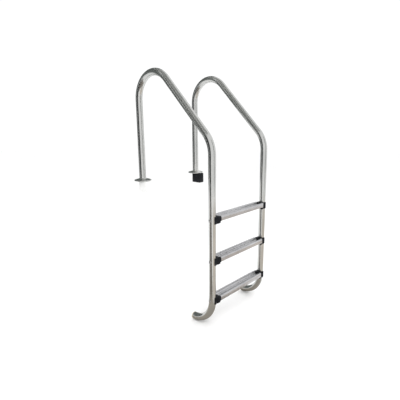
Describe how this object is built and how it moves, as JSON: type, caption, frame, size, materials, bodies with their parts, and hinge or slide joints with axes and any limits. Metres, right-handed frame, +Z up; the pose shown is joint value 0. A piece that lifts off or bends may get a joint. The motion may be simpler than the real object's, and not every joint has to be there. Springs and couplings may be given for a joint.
{
  "type": "pool ladder",
  "caption": "Deck-mounted swimming pool ladder with two bent stainless handrails, treads with moulded end caps, hooked feet, escutcheons and wedge anchors.",
  "frame": {"origin": "on the deck surface, midway between the two deck legs' axes", "axes": "+X from the left handrail to the right one, +Y from the pool towards the deck, +Z up"},
  "size_m": [0.6112, 0.7295, 1.5426],
  "materials": {
    "polished_steel": "mirror-polished stainless steel",
    "tread_steel": "pressed stainless sheet, satin with embossed grip dimples",
    "fastener_steel": "plain stainless steel",
    "bronze": "sand-cast bronze",
    "black_plastic": "fine moulded texture",
    "white_plastic": "fine moulded texture",
    "cream_plastic": "soft moulded plastic"
  },
  "bodies": {
    "anchors": {"left_anchor_socket": "white_plastic", "left_anchor_washer": "fastener_steel", "right_anchor_socket": "black_plastic", "right_anchor_washer": "fastener_steel"},
    "ladder": {"left_rail_tube": "polished_steel", "left_foot_plug": "cream_plastic", "right_rail_tube": "polished_steel", "right_foot_plug": "cream_plastic", "upper_tread": "tread_steel", "upper_left_end_cap": "black_plastic", "upper_left_step_bolt": "fastener_steel", "upper_left_saddle_washer": "fastener_steel", "upper_left_step_nut": "fastener_steel", "upper_right_end_cap": "black_plastic", "upper_right_step_bolt": "fastener_steel", "upper_right_saddle_washer": "fastener_steel", "upper_right_step_nut": "fastener_steel", "middle_tread": "tread_steel", "middle_left_end_cap": "black_plastic", "middle_left_step_bolt": "fastener_steel", "middle_left_saddle_washer": "fastener_steel", "middle_left_step_nut": "fastener_steel", "middle_right_end_cap": "black_plastic", "middle_right_step_bolt": "fastener_steel", "middle_right_saddle_washer": "fastener_steel", "middle_right_step_nut": "fastener_steel", "lower_tread": "tread_steel", "lower_left_end_cap": "black_plastic", "lower_left_step_bolt": "fastener_steel", "lower_left_saddle_washer": "fastener_steel", "lower_left_step_nut": "fastener_steel", "lower_right_end_cap": "black_plastic", "lower_right_step_bolt": "fastener_steel", "lower_right_saddle_washer": "fastener_steel", "lower_right_step_nut": "fastener_steel"},
    "left_escutcheon": {"left_escutcheon": "polished_steel"},
    "left_anchor_bolt": {"left_anchor_bolt": "fastener_steel"},
    "left_anchor_wedge": {"left_anchor_wedge": "bronze"},
    "right_escutcheon": {"right_escutcheon": "polished_steel"},
    "right_anchor_bolt": {"right_anchor_bolt": "fastener_steel"},
    "right_anchor_wedge": {"right_anchor_wedge": "bronze"}
  },
  "joints": [
    {"name": "ladder_lift", "type": "slide", "parent": "anchors", "child": "ladder", "axis": [0, 0, 1], "range_m": [0, 0.07]},
    {"name": "left_escutcheon_slide", "type": "slide", "parent": "ladder", "child": "left_escutcheon", "axis": [0, 0, 1], "range_m": [0, 0.45]},
    {"name": "left_bolt_turn", "type": "hinge", "parent": "anchors", "child": "left_anchor_bolt", "pos_m": [-0.25, -0.0375, -0.04], "axis": [0, 0, 1], "range_deg": [0, 1440]},
    {"name": "left_wedge_slide", "type": "slide", "parent": "anchors", "child": "left_anchor_wedge", "axis": [0, 0, 1], "range_m": [-0.006, 0]},
    {"name": "right_escutcheon_slide", "type": "slide", "parent": "ladder", "child": "right_escutcheon", "axis": [0, 0, 1], "range_m": [0, 0.45]},
    {"name": "right_bolt_turn", "type": "hinge", "parent": "anchors", "child": "right_anchor_bolt", "pos_m": [0.25, -0.0375, -0.04], "axis": [0, 0, 1], "range_deg": [0, 1440]},
    {"name": "right_wedge_slide", "type": "slide", "parent": "anchors", "child": "right_anchor_wedge", "axis": [0, 0, 1], "range_m": [-0.006, 0]}
  ],
  "couplings": [
    {"joint": "left_bolt_turn", "follows": "left_wedge_slide", "rad_per_m": -4188.8},
    {"joint": "right_bolt_turn", "follows": "right_wedge_slide", "rad_per_m": -4188.8}
  ]
}
